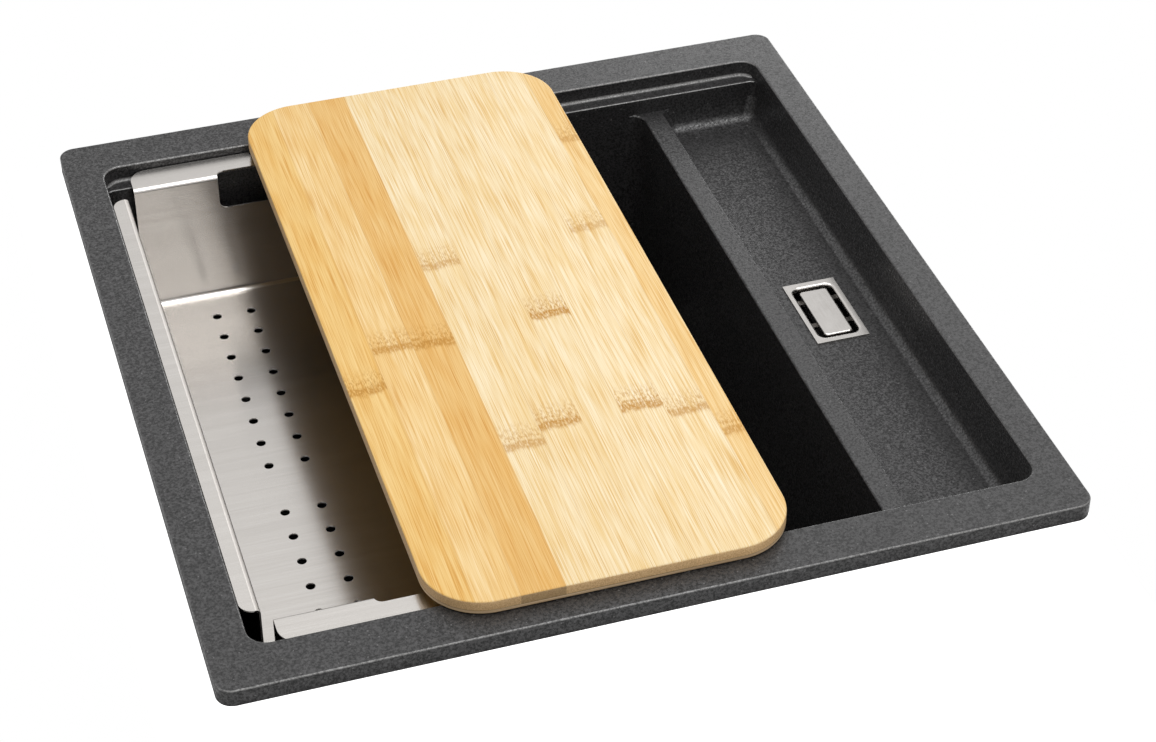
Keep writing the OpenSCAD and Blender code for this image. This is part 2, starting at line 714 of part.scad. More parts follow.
// Section of one wall: from the floor's middle out to the wall, up, and out along the flange.
// u runs outwards, v runs up; half is the wall's inside face.
module wall_section(half, flange_w) {
    top = flange_z_top;
    translate([0, tray_z - sheet_t]) square([half - floor_bend_r + eps, sheet_t]);
    translate([half - floor_bend_r, tray_z + floor_bend_r]) mirror([0, 1]) bend(floor_bend_r);
    translate([half, tray_z + floor_bend_r - eps])
        square([sheet_t, top - fold_r - sheet_t - tray_z - floor_bend_r + 2 * eps]);
    translate([half + fold_r + sheet_t, top - fold_r - sheet_t]) mirror([1, 0]) bend(fold_r);
    translate([half + fold_r + sheet_t - eps, top - sheet_t])
        square([flange_w - fold_r - sheet_t + eps, sheet_t]);
}

module two_walls(half, flange_w) {
    wall_section(half, flange_w);
    mirror([1, 0]) wall_section(half, flange_w);
}

// Front wall, floor and back wall as one folded strip, with round flange corners
module end_walls() {
    intersection() {
        translate([corner_gap - tray_w / 2, 0, 0]) rotate([90, 0, 90])
            linear_extrude(tray_w - 2 * corner_gap) two_walls(tray_y, end_flange_w);
        slab(corner_gap - tray_w / 2, tray_w / 2 - corner_gap, tray_y + end_flange_w, 12,
             tray_z - 2, flange_z_top + 1);
    }
}

// Side walls, folded from the same floor
module side_walls() {
    intersection() {
        translate([0, tray_y - side_end, 0]) rotate([90, 0, 0])
            linear_extrude(tray_d - 2 * side_end) two_walls(tray_w / 2, side_flange_w);
        slab(-tray_w / 2 - side_flange_w, tray_w / 2 + side_flange_w, tray_y - side_end, 8,
             tray_z - 2, flange_z_top + 1);
    }
}

// Hand slot through one end wall and a strip of its flange, on the +Y side
module hand_slot() {
    slot_r = 5;
    flange_cut = 6;
    translate([0, tray_y + 2, flange_z_top]) rotate([90, 0, 0]) linear_extrude(8)
        rounded_rect(-hand_slot_l / 2, hand_slot_l / 2, hand_slot_h, slot_r);
    translate([0, tray_y, flange_z_top - 6]) linear_extrude(10)
        rounded_rect(-hand_slot_l / 2, hand_slot_l / 2, flange_cut, slot_r);
}

module drain_holes() {
    for (column = [-2.5, -1.5, 1.5, 2.5], row = [1 : 8], side = [-1, 1])
        translate([column * drain_pitch, side * row * drain_pitch, tray_z - 3])
            cylinder(h = 6, r = drain_d / 2, $fn = 24);
}

module colander() {
    color(steel_c) translate([tray_mid_x, 0, 0]) difference() {
        union() {
            end_walls();
            side_walls();
        }
        drain_holes();
        hand_slot();
        mirror([0, 1, 0]) hand_slot();
    }
}

// Silicone rests between the end flanges and the ledges
module colander_rests() {
    rest_gap = 0.2;
    low_z = ledge_z + rest_gap;
    color(rubber_c) translate([tray_mid_x, 0, 0])
        for (x = [-80, 80], side = [-1, 1])
            translate([x, side * (open_y - 5.5), 0]) slab(-9, 9, 3, 2.5, low_z, flange_z_top - sheet_t);
}

// ---- Chopping board ----

module chopping_board() {
    color(bamboo_c) translate([board_x, board_y, 0])
        eased_slab(-board_w / 2, board_w / 2, board_l / 2, board_r, rim_t, rim_t + board_t, 1, 1);
}

sink_body();
rim_seal();
clip_inserts();
clip_screws();
clip_jaw_front_left();
clip_jaw_front_right();
clip_jaw_back_left();
clip_jaw_back_right();
waste_flange();
waste_top_seal();
waste_bottom_seal();
waste_body();
waste_screw();
basket_cup();
basket_knob();
basket_seal();
overflow_frame();
overflow_cover();
overflow_gasket();
overflow_housing();
overflow_screws();
overflow_hose();
hose_nut_upper();
hose_nut_lower();
colander();
colander_rests();
chopping_board();
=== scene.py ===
"""Dresses the workstation kitchen sink: a granite composite casting with a bowl, a divider and a trough,
a folded steel colander, a bamboo board, and the waste and overflow fittings under them.

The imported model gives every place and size. Lengths below are in millimetres where they are multiplied
by MM, and in metres otherwise.
"""

import json
import math
import bpy
import bmesh
from mathutils import Matrix, Vector


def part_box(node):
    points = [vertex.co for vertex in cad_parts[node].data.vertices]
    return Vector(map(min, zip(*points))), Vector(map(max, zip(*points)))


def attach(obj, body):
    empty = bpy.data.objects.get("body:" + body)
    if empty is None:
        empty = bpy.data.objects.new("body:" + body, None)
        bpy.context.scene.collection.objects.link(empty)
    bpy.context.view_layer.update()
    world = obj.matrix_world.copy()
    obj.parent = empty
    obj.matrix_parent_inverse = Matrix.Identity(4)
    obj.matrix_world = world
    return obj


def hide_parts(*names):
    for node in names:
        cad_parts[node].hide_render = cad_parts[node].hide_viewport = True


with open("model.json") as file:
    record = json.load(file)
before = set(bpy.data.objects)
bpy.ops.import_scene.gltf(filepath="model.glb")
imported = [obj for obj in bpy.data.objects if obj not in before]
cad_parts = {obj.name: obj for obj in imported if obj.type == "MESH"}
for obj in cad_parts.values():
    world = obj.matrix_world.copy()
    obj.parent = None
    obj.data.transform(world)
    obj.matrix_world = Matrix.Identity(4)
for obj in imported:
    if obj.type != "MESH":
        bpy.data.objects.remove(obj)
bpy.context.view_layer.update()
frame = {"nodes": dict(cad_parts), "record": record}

MM = 0.001
TIGHT = 0.05 * MM  # Edges this near a height lie at it, where others are close

# The camera of the photograph: it looks down over the front left of the sink
VIEW_TARGET = Vector((0.0087, -0.0652, 0.0112))
VIEW_DISTANCE = 1.6319
VIEW_AZIMUTH = -17.426
VIEW_ELEVATION = 38.393
VIEW_ROLL = -0.05
LENS = 83.78

# Soft lights that aim at the origin: place, width and length, and power in watts
SOFTBOXES = {
    "top_softbox": ((0.0, 0.10, 1.6), (1.5, 0.9), 14),
    "front_softbox": ((0.40, -0.86, 1.85), (1.2, 0.5), 14),
    "low_strip": ((1.14, 1.6, 0.40), (1.4, 0.4), 11),
}
AMBIENT = 0.34

# The stage: a thin worktop, and the box that cuts the hole for the sink
WORKTOP_LOW = Vector((-0.29, -0.46, -0.003))
WORKTOP_HIGH = Vector((0.254, 0.269, 0.0))
CUT_OUT = (0.49, 0.52, 0.1)

# The casting: the rim's top, the ledges' top, and the opening as seen from above
RIM_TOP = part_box("sink_body")[1].z
LEDGE_TOP = -0.5 * MM
OPENING_LEFT = -230.5 * MM
OPENING_RIGHT = 233.5 * MM
OPENING_HALF_DEPTH = 238.5 * MM
OPENING_CHAMFER = 0.8 * MM
LEDGE_FILLET = 2.2 * MM
FILLET_END = 232 * MM  # The fillet stops short of the ledges' front edges
HIGHLIGHT_LOW = -3 * MM     # Below this height the edges get no painted highlight

# The board: it is glued up from strips, and its side shows two plies
BOARD_GAP = 0.02 * MM  # It slides on the rim without sharing its plane
BOARD_CORNER = 36 * MM
STRIP_WIDTH = 25.3 * MM
FIRST_SEAM = -108.6 * MM
PLY_HEIGHT = 3 * MM
GLUE_HALF_WIDTH = 0.25 * MM
MARK_SPAN = 600 * MM  # The node marks' places lie within this length
MARK_LENGTH = 36 * MM
MARK_LEAD = 0.25      # The share of a mark's length that lies before its place
MARK_WANDER = 10 * MM
MARK_COLOUR = (0.480, 0.225, 0.030)
TAN = (0.770, 0.500, 0.190)
GOLDEN = (0.805, 0.548, 0.213)
HONEY = (0.835, 0.610, 0.300)
CREAM = (0.860, 0.710, 0.455)
PALE = (0.875, 0.730, 0.480)

# Each strip from the left: its tone, the shade of its fibre ends, and its front and back node marks, each
# with a place from the sink's middle in millimetres and a strength
NO_MARK = (0.0, 0.0)
STRIPS = (
    (GOLDEN, 0.90, (-56.3, 0.95), NO_MARK),
    (HONEY, 0.90, (-20.7, 0.90), NO_MARK),
    (TAN, 0.62, (-24.0, 1.00), NO_MARK),
    (CREAM, 0.98, (-132.0, 0.75), (53.7, 0.70)),
    (CREAM, 1.00, (-119.7, 0.95), NO_MARK),
    (CREAM, 1.00, (-15.3, 1.00), NO_MARK),
    (PALE, 1.05, (-118.0, 0.95), NO_MARK),
    (PALE, 1.05, (-130.3, 0.80), (65.3, 0.60)),
    (HONEY, 1.05, (-154.7, 0.80), (167.0, 0.70)),
)
TONES, END_SHADES, FRONT_MARKS, BACK_MARKS = zip(*STRIPS)

# The overflow frame: half the reach of its lip along X and Y, how deep its rests lie, and how deep below its
# face the painted shade starts
LIP_REACH = (14 * MM, 27.5 * MM)
REST_DEPTH = 6 * MM
SHADE_DEPTH = 3 * MM

# The overflow hose
HOSE_CREST = 12 * MM
HOSE_ROOT = 10.2 * MM
HOSE_WALL = 1.2 * MM
HOSE_BEND = 96 * MM
HOSE_SIDES = 32
RIB_PITCH = 5 * MM

# The thread of the waste's outlet, around the bowl's middle
WASTE_AXIS = Vector((-42 * MM, 0, 0))
OUTLET_LENGTH = 24 * MM
THREAD_CREST = 23.9 * MM
THREAD_ROOT = 22.6 * MM
THREAD_PITCH = 2.309 * MM
THREAD_START = 0.6 * MM
THREAD_TURNS = 9


# ---- Helpers ----

def deselect():
    """Leaves nothing selected and no object active in edit mode."""
    if bpy.context.object and bpy.context.object.mode == "EDIT":
        bpy.ops.object.mode_set(mode="OBJECT")
    bpy.ops.object.select_all(action="DESELECT")


def take(obj):
    """Makes obj the only selected and active object."""
    deselect()
    obj.select_set(True)
    bpy.context.view_layer.objects.active = obj


def copy_of(node, name):
    """A merged copy of a CAD node's mesh, as a new piece at the origin."""
    piece = bpy.data.objects.new(name, frame["nodes"][node].data.copy())
    bpy.context.scene.collection.objects.link(piece)
    piece.data.name = name
    piece.data.materials.clear()
    take(piece)
    bpy.ops.object.mode_set(mode="EDIT")
    bpy.ops.mesh.customdata_custom_splitnormals_clear()
    bpy.ops.mesh.select_all(action="SELECT")
    bpy.ops.mesh.remove_doubles(threshold=0.002 * MM)
    bpy.ops.mesh.dissolve_limited(angle_limit=math.radians(0.4))
    bpy.ops.object.mode_set(mode="OBJECT")
    return piece


def pick_verts(piece, chosen):
    """Goes into edit mode and selects the vertices that chosen(vert) picks, with the edges between them."""
    bpy.ops.object.mode_set(mode="EDIT")
    bpy.ops.mesh.select_all(action="DESELECT")
    shape = bmesh.from_edit_mesh(piece.data)
    for vert in shape.verts:
        vert.select_set(chosen(vert))
    shape.select_flush(True)
    bmesh.update_edit_mesh(piece.data)


def is_sharp(edge, degrees=28):
    """True for an edge between two faces that meet at more than the angle."""
    return edge.is_manifold and edge.calc_face_angle(0) > math.radians(degrees)


def is_corner(edge):
    """True for a sharp edge that stands out."""
    return is_sharp(edge, 50) and edge.is_convex


def is_level(edge, height, reach=0.3 * MM):
    """True for an edge that lies at the height."""
    return all(abs(vert.co.z - height) < reach for vert in edge.verts)


def in_opening(edge, grow=2 * MM):
    """True for an edge inside the casting's opening, as seen from above."""
    return all(OPENING_LEFT - grow < vert.co.x < OPENING_RIGHT + grow
               and abs(vert.co.y) < OPENING_HALF_DEPTH + grow for vert in edge.verts)


def round_edges(piece, radius, chosen, segments=2, clamp=True):
    """Rounds the edges that chosen(edge) picks."""
    take(piece)
    bpy.ops.object.mode_set(mode="EDIT")
    bpy.ops.mesh.select_mode(type="EDGE")
    bpy.ops.mesh.select_all(action="DESELECT")
    shape = bmesh.from_edit_mesh(piece.data)
    for edge in shape.edges:
        edge.select_set(chosen(edge))
    bmesh.update_edit_mesh(piece.data)
    bpy.ops.mesh.bevel(offset=radius, segments=segments, affect="EDGES", clamp_overlap=clamp)
    bpy.ops.object.mode_set(mode="OBJECT")


def smooth(piece, degrees=40):
    """Smooth shading that stays flat on the large faces."""
    take(piece)
    bpy.ops.object.shade_smooth_by_angle(angle=math.radians(degrees))
    weigh = piece.modifiers.new("weigh", "WEIGHTED_NORMAL")
    weigh.keep_sharp = True
    bpy.ops.object.modifier_apply(modifier=weigh.name)


def dress(piece, material, body, slot, *nodes):
    """Finishes a piece: its material, the body it rides on and the nodes it stands for. The slot is not
    used.
    """
    piece.data.materials.clear()
    piece.data.materials.append(material)
    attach(piece, body)
    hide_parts(*nodes)


# ---- Shader helpers ----

class Maker:
    """A material's node tree, with short calls for the nodes that the finishes below use."""

    def __init__(self, name):
        self.material = bpy.data.materials.new(name)
        self.material.use_nodes = True
        self.tree = self.material.node_tree
        self.shader = self.tree.nodes["Principled BSDF"]
        place = self.tree.nodes.new("ShaderNodeTexCoord")
        self.here = place.outputs["Object"]
        self.normal = place.outputs["Normal"]

    def set(self, **values):
        """Constants on the shader's own sockets."""
        for name, value in values.items():
            self.shader.inputs[name.replace("_", " ")].default_value = value

    def feed(self, value, socket):
        """Gives a node's socket a constant, or links it to another node's output."""
        if isinstance(value, (int, float)):
            socket.default_value = value
        elif isinstance(value, tuple):
            socket.default_value = (*value, 1)
        else:
            self.tree.links.new(value, socket)

    def into(self, source, socket):
        """Links an output to the shader's socket of that name."""
        self.tree.links.new(source, self.shader.inputs[socket])

    def stretched(self, scale, source=None):
        """Object coordinates, or the source's, scaled along each axis."""
        mapping = self.tree.nodes.new("ShaderNodeMapping")
        mapping.inputs["Scale"].default_value = scale
        self.feed(source or self.here, mapping.inputs["Vector"])
        return mapping.outputs["Vector"]

    def noise(self, vector, scale=1.0, detail=2.0, roughness=0.6):
        """Soft noise between 0 and 1."""
        node = self.tree.nodes.new("ShaderNodeTexNoise")
        node.inputs["Scale"].default_value = scale
        node.inputs["Detail"].default_value = detail
        node.inputs["Roughness"].default_value = roughness
        self.feed(vector, node.inputs["Vector"])
        return node.outputs["Fac"]

    def cells(self, vector, scale):
        """Distance to the nearest cell centre, and the cell's random colour."""
        node = self.tree.nodes.new("ShaderNodeTexVoronoi")
        node.inputs["Scale"].default_value = scale
        self.feed(vector, node.inputs["Vector"])
        return node.outputs["Distance"], node.outputs["Color"]

    def ramp(self, value, stops, interpolation="LINEAR"):
        """Colour ramp; each stop is a position and a grey value or a colour."""
        node = self.tree.nodes.new("ShaderNodeValToRGB")
        node.color_ramp.interpolation = interpolation
        elements = node.color_ramp.elements
        while len(elements) < len(stops):
            elements.new(1.0)
        for element, (position, colour) in zip(elements, stops):
            element.position = position
            element.color = (colour,) * 3 + (1,) if isinstance(colour, float) else (*colour, 1)
        self.feed(value, node.inputs["Fac"])
        return node.outputs["Color"]

    def math(self, operation, a, b=0.0, c=0.0):
        """One step of arithmetic on numbers or outputs."""
        node = self.tree.nodes.new("ShaderNodeMath")
        node.operation = operation
        for value, socket in zip((a, b, c), node.inputs):
            self.feed(value, socket)
        return node.outputs[0]

    def times(self, a, b):
        """The product of two numbers or outputs."""
        return self.math("MULTIPLY", a, b)

    def size(self, value):
        """The value without its sign."""
        return self.math("ABSOLUTE", value)

    def above(self, value, limit):
        """1 where the value is greater than the limit, and 0 elsewhere."""
        return self.math("GREATER_THAN", value, limit)

    def below(self, value, limit):
        """1 where the value is less than the limit, and 0 elsewhere."""
        return self.math("LESS_THAN", value, limit)

    def mix(self, factor, a, b, blend="MIX"):
        """Colour a where the factor is 0, and b where it is 1."""
        node = self.tree.nodes.new("ShaderNodeMix")
        node.data_type = "RGBA"
        node.blend_type = blend
        for name, value in (("Factor", factor), ("A", a), ("B", b)):
            self.feed(value, next(s for s in node.inputs if s.name == name and s.enabled))
        return next(s for s in node.outputs if s.enabled)

    def tint(self, colour, tone):
        """The colour multiplied by the tone."""
        return self.mix(1.0, colour, tone, "MULTIPLY")

    def axes(self, vector):
        """The three parts of a vector."""
        node = self.tree.nodes.new("ShaderNodeSeparateXYZ")
        self.feed(vector, node.inputs[0])
        return node.outputs

    def join(self, *parts):
        """A vector from its three parts."""
        node = self.tree.nodes.new("ShaderNodeCombineXYZ")
        for value, socket in zip(parts, node.inputs):
            self.feed(value, socket)
        return node.outputs[0]

    def skin(self, grain, low, spread):
        """Roughness that follows the grain, from low up by the spread."""
        self.into(self.math("MULTIPLY_ADD", grain, spread, low), "Roughness")

    def bump(self, height, strength, depth):
        """Fine relief on the surface."""
        node = self.tree.nodes.new("ShaderNodeBump")
        node.inputs["Strength"].default_value = strength
        node.inputs["Distance"].default_value = depth
        self.feed(height, node.inputs["Height"])
        self.into(node.outputs["Normal"], "Normal")


# ---- Materials ----

def painted_edge_highlight(make):
    """How strong the painted highlight is: on the rounded edges of the rim and the ledges, and most of all
    where they face the front light."""
    across, back, up = make.axes(make.normal)
    rest = make.math("MULTIPLY_ADD", make.times(up, up), -1.0, 1.0)
    level = make.math("SQRT", make.math("MAXIMUM", rest, 0.0))
    around = make.times(make.times(up, level), 0.35)
    frontward = make.math("MAXIMUM", make.times(make.times(up, back), -1.65), 0.0)
    turned = make.math("MAXIMUM", make.math("ADD", around, frontward), 0.0)
    high = make.above(make.axes(make.here)[2], HIGHLIGHT_LOW)
    patches = make.ramp(make.noise(make.here, 1100), ((0.38, 0.35), (0.60, 1.0)))
    return make.math("MINIMUM", make.times(make.times(turned, high), patches), 1.0)


def granite_composite():
    """Quartz grains in dark resin: a fine, low mottle, a few pale grains, a dry, even skin, and a painted
    highlight on the rounded edges.
    """
    make = Maker("granite_composite")
    grain = make.noise(make.here, 680, 4, 0.72)
    body = make.ramp(grain, ((0.38, (0.0040, 0.0038, 0.0039)), (0.50, (0.0140, 0.0135, 0.0138)),
                             (0.62, (0.0520, 0.0505, 0.0515))))
    cloud = make.ramp(make.noise(make.here, 60, 3), ((0.3, 0.92), (0.7, 1.08)))
    distance, pick = make.cells(make.here, 430)
    pale_grain = make.times(make.below(distance, 0.22), make.above(make.axes(pick)[0], 0.93))
    speckled = make.mix(make.times(pale_grain, 0.40), make.tint(body, cloud), (0.230, 0.225, 0.225))
    # Painted highlight: the rounded edges are mixed towards a paler grey, most of all where they face the
    # front
    make.into(make.mix(painted_edge_highlight(make), speckled, (0.270, 0.266, 0.262)), "Base Color")
    make.into(make.ramp(grain, ((0.42, 0.52), (0.60, 0.27))), "Roughness")
    make.into(make.ramp(grain, ((0.40, 0.37), (0.50, 0.52), (0.60, 0.74))), "Specular IOR Level")
    make.bump(make.noise(make.here, 900, 3, 0.65), 0.42, 0.10 * MM)
    return make.material


def brushed_steel():
    """Stainless sheet brushed along the blank: streaks run along X, and up the walls that fold about Y."""
    make = Maker("brushed_steel")
    x, y, z = make.axes(make.here)
    facing = make.axes(make.normal)
    sideways, backways = make.size(facing[0]), make.size(facing[1])
    run = make.mix(make.above(sideways, 0.7), make.join(x, y, z), make.join(z, y, x))
    fine = make.noise(make.stretched((16, 2600, 2600), run), detail=3)
    broad = make.noise(make.stretched((3, 160, 160), run), roughness=0.5)
    streak = make.math("ADD", make.times(fine, 0.6), make.times(broad, 0.4))
    make.into(make.ramp(streak, ((0.30, (0.520, 0.496, 0.470)), (0.70, (0.590, 0.566, 0.540)))),
              "Base Color")
    make.set(Metallic=1.0, Anisotropic=0.8)
    # The folds about Y run across the brushing, which leaves them dull
    dull = make.ramp(sideways, ((0.02, 0.0), (0.14, 0.55), (0.90, 0.55), (0.97, 0.0)))
    make.into(make.math("ADD", make.math("MULTIPLY_ADD", streak, 0.06, 0.19), dull), "Roughness")
    make.into(make.mix(make.above(backways, 0.7), (0.0, 1.0, 0.0), (0.0, 0.0, 1.0)), "Tangent")
    make.bump(fine, 0.010, 0.01 * MM)
    return make.material


def satin_steel(name="satin_steel", shade_below=None):
    """Pressed stainless fittings: a close, even satin with hardly any streak, and painted shade below a
    height when one is given.
    """
    make = Maker(name)
    streak = make.noise(make.stretched((2200, 60, 2200)), roughness=0.5)
    haze = make.noise(make.here, 120, roughness=0.5)
    worn = make.math("ADD", make.times(streak, 0.5), make.times(haze, 0.5))
    tone = make.ramp(worn, ((0.30, (0.520, 0.498, 0.476)), (0.70, (0.610, 0.588, 0.566))))
    if shade_below is not None:
        # Painted shade: below the height the steel is painted a dark grey, as if in the recess's shadow
        tone = make.mix(make.below(make.axes(make.here)[2], shade_below), tone, (0.170, 0.160, 0.150))
    make.into(tone, "Base Color")
    make.set(Metallic=1.0)
    make.skin(worn, 0.15, 0.14)
    return make.material


def strip_values(make, across, values):
    """A value for each strip of the board, picked by the place across it."""
    low = FIRST_SEAM - STRIP_WIDTH
    part = make.math("DIVIDE", make.math("SUBTRACT", across, low), len(STRIPS) * STRIP_WIDTH)
    stops = tuple((index / len(STRIPS), value) for index, value in enumerate(values))
    return make.ramp(part, stops, "CONSTANT")


def node_marks(make, across, along, marks):
    """Where the cane had its nodes: a toothed brown band across the strip, and a stippled zone behind it."""
    places, strengths = zip(*marks)
    shares = tuple(y * MM / MARK_SPAN + 0.5 for y in places)
    place = make.math("MULTIPLY_ADD", strip_values(make, across, shares), MARK_SPAN, -MARK_SPAN / 2)
    drift = make.noise(make.stretched((70, 15, 0)))
    bent = make.math("MULTIPLY_ADD", drift, MARK_WANDER, -MARK_WANDER / 2)
    offset = make.math("SUBTRACT", make.math("ADD", along, bent), place)
    reach = make.math("MULTIPLY_ADD", offset, 1 / MARK_LENGTH, MARK_LEAD)
    band = make.ramp(reach, ((0.10, 0.0), (0.17, 0.9), (0.31, 1.0), (0.37, 0.10), (0.60, 0.0)))
    tail = make.ramp(reach, ((0.05, 0.0), (0.12, 0.5), (0.40, 1.0), (0.62, 0.55), (0.85, 0.0)))
    teeth = make.noise(make.stretched((900, 260, 0)))
    grains = make.ramp(teeth, ((0.38, 0.25), (0.48, 0.75), (0.58, 1.0)))
    dashes = make.ramp(teeth, ((0.46, 0.0), (0.54, 0.50), (0.62, 0.85)))
    mark = make.math("MAXIMUM", make.times(band, grains), make.times(tail, dashes))
    return make.times(mark, strip_values(make, across, strengths))


def board_face(make, across, along, fibre):
    """The board's top: a tone for each strip, fibres, sheaves and patches, node marks, and fine seams."""
    sheaf = make.noise(make.stretched((900, 12, 20)))
    patch = make.noise(make.stretched((75, 17, 8)))
    face = strip_values(make, across, TONES)
    for texture, stops in (
        (fibre, ((0.30, (0.83, 0.67, 0.43)), (0.46, (0.97, 0.93, 0.85)), (0.66, (1.03, 1.06, 1.13)))),
        (sheaf, ((0.36, (0.93, 0.85, 0.69)), (0.47, (0.985, 0.97, 0.94)), (0.66, (1.01, 1.02, 1.06)))),
        (patch, ((0.36, (0.97, 0.92, 0.81)), (0.58, (1.00, 1.01, 1.03)))),
    ):
        face = make.tint(face, make.ramp(texture, stops))
    front = node_marks(make, across, along, FRONT_MARKS)
    back = node_marks(make, across, along, BACK_MARKS)
    face = make.mix(make.math("MAXIMUM", front, back), face, MARK_COLOUR)
    share = make.math("FRACT", make.math("DIVIDE", make.math("SUBTRACT", across, FIRST_SEAM), STRIP_WIDTH))
    seam = make.above(make.size(make.math("SUBTRACT", share, 0.5)), 0.491)
    return make.mix(make.times(seam, 0.30), face, (0.500, 0.290, 0.110))


def board_side(make, across, up):
    """The board's side: fibre ends in the upper ply, a dark glue line, and layers in the paler lower ply."""
    ends = make.noise(make.stretched((1500, 1500, 1300)))
    layers = make.noise(make.stretched((12, 12, 1500)))
    upper = make.ramp(ends, ((0.36, (0.700, 0.430, 0.200)), (0.60, (0.900, 0.620, 0.320))))
    upper = make.tint(upper, strip_values(make, across, END_SHADES))
    lower = make.ramp(layers, ((0.35, (0.640, 0.430, 0.235)), (0.62, (0.920, 0.690, 0.430))))
    ply_line = RIM_TOP + PLY_HEIGHT
    side = make.mix(make.above(up, ply_line), lower, upper)
    glue = make.below(make.size(make.math("SUBTRACT", up, ply_line)), GLUE_HALF_WIDTH)
    return make.mix(make.times(glue, 0.5), side, (0.200, 0.110, 0.055))


def bamboo():
    """Glued bamboo: strips with node marks on the faces, two plies on the sides, and painted shade on the
    underside.
    """
    make = Maker("bamboo")
    across, along, up = make.axes(make.here)
    upward = make.axes(make.normal)[2]
    fibre = make.noise(make.stretched((2100, 24, 40)), detail=1, roughness=0.5)
    # Painted shade: faces that look down are darkened to 0.58
    painted_underside_shade = make.ramp(make.above(upward, 0.0), ((0.0, 0.58), (1.0, 1.0)))
    face = make.tint(board_face(make, across, along, fibre), painted_underside_shade)
    make.into(make.mix(make.above(make.size(upward), 0.5), board_side(make, across, up), face), "Base Color")
    make.skin(fibre, 0.55, -0.10)
    make.set(Specular_IOR_Level=0.25)
    make.bump(fibre, 0.12, 0.05 * MM)
    return make.material


def seal_rubber():
    """Black rubber and silicone with a dry, dusty skin."""
    make = Maker("seal_rubber")
    dust = make.noise(make.here, 500)
    make.into(make.ramp(dust, ((0.3, (0.014, 0.014, 0.015)), (0.7, (0.032, 0.032, 0.034)))), "Base Color")
    make.skin(dust, 0.5, 0.2)
    make.bump(dust, 0.15, 0.08 * MM)
    return make.material


def waste_plastic():
    """The moulded white plastic of the waste and its hose."""
    make = Maker("waste_plastic")
    haze = make.noise(make.here, 90, 3)
    grain = make.noise(make.here, 700)
    make.into(make.ramp(haze, ((0.3, (0.740, 0.740, 0.720)), (0.7, (0.820, 0.820, 0.800)))), "Base Color")
    make.skin(grain, 0.34, 0.15)
    make.bump(grain, 0.10, 0.06 * MM)
    return make.material


def black_plastic():
    """The moulded black plastic of the overflow's housing."""
    make = Maker("black_plastic")
    grain = make.noise(make.here, 700)
    make.into(make.ramp(grain, ((0.3, (0.012, 0.012, 0.012)), (0.7, (0.024, 0.024, 0.024)))), "Base Color")
    make.skin(grain, 0.38, 0.15)
    make.bump(grain, 0.10, 0.06 * MM)
    return make.material


def brass():
    """Turned brass, with fine rings around the upright axis."""
    make = Maker("brass")
    turned = make.noise(make.stretched((40, 40, 2400)))
    make.into(make.ramp(turned, ((0.3, (0.62, 0.42, 0.16)), (0.7, (0.80, 0.60, 0.28)))), "Base Color")
    make.set(Metallic=1.0)
    make.skin(turned, 0.22, 0.2)
    make.bump(turned, 0.2, 0.03 * MM)
    return make.material


# ---- Pieces ----

def granite_sink():
    """The casting, with a fillet between its ledges and the rim, and the opening's edges eased."""
    piece = copy_of("sink_body", "granite_sink")

    def behind_ledge(edge):
        """The hollow edge between a ledge and the rim's inner side."""
        return (is_sharp(edge) and is_level(edge, LEDGE_TOP) and in_opening(edge) and not edge.is_convex
                and all(abs(vert.co.y) > FILLET_END for vert in edge.verts))

    def round_opening(edge):
        """The two edges of the chamfer around the opening."""
        return (is_sharp(edge) and in_opening(edge, 3 * MM)
                and (is_level(edge, RIM_TOP) or is_level(edge, RIM_TOP - OPENING_CHAMFER)))

    round_edges(piece, LEDGE_FILLET, behind_ledge, 4, clamp=False)
    round_edges(piece, 0.35 * MM, round_opening, 3)
    smooth(piece)
    dress(piece, STONE, "sink", "granite_composite", "sink_body")


def folded_colander():
    """The tray folded from one sheet, with its cut edges and drain holes deburred."""
    piece = copy_of("colander", "folded_colander")
    round_edges(piece, 0.22 * MM, is_corner)
    smooth(piece)
    dress(piece, STEEL, "sliding_colander", "brushed_steel", "colander")


def bamboo_board():
    """The board: a slab with round corners and eased edges."""
    low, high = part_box("chopping_board")
    low.z += BOARD_GAP
    middle, size = (low + high) / 2, high - low
    deselect()
    bpy.ops.mesh.primitive_cube_add(size=1, location=middle, scale=size)
    piece = bpy.context.object
    piece.name = "bamboo_board"
    bpy.ops.object.transform_apply(location=True, rotation=False, scale=True)

    def is_upright(edge):
        """One of the slab's four corners."""
        return abs(edge.verts[0].co.z - edge.verts[1].co.z) > size.z / 2

    round_edges(piece, BOARD_CORNER, is_upright, 24)
    round_edges(piece, 1.5 * MM, lambda edge: is_level(edge, low.z) and is_sharp(edge, 60), 5)
    round_edges(piece, 1 * MM, lambda edge: is_level(edge, high.z) and is_sharp(edge, 60), 4)
    smooth(piece)
    dress(piece, WOOD, "sliding_board", "bamboo", "chopping_board")


def overflow_frame():
    """The overflow's frame, with a rolled inner lip and rounded rests for the cover, and painted shade in
    its recess below its face.
    """
    low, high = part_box("overflow_frame")
    middle = (low + high) / 2
    piece = copy_of("overflow_frame", "overflow_frame_finished")

    def lip(edge):
        """The inner edge of the face."""
        inner = all(abs(vert.co.x - middle.x) < LIP_REACH[0] and abs(vert.co.y - middle.y) < LIP_REACH[1]
                    for vert in edge.verts)
        return inner and is_sharp(edge) and edge.is_convex and is_level(edge, high.z, TIGHT)

    def rest(edge):
        """The edges of the rests that run along X."""
        along_x = abs(edge.verts[0].co.y - edge.verts[1].co.y) < 0.1 * MM
        return along_x and is_corner(edge) and is_level(edge, high.z - REST_DEPTH, TIGHT)

    round_edges(piece, 1.7 * MM, lip, 5, clamp=False)
    round_edges(piece, 0.2 * MM, lambda edge: is_corner(edge) and is_level(edge, high.z, TIGHT))
    round_edges(piece, 0.9 * MM, rest, 4)
    smooth(piece)
    # The frame's steel carries painted shade in its recess
    shaded_steel = satin_steel("satin_steel_painted_shade", high.z - SHADE_DEPTH)
    dress(piece, shaded_steel, "sink", "brushed_steel", "overflow_frame")


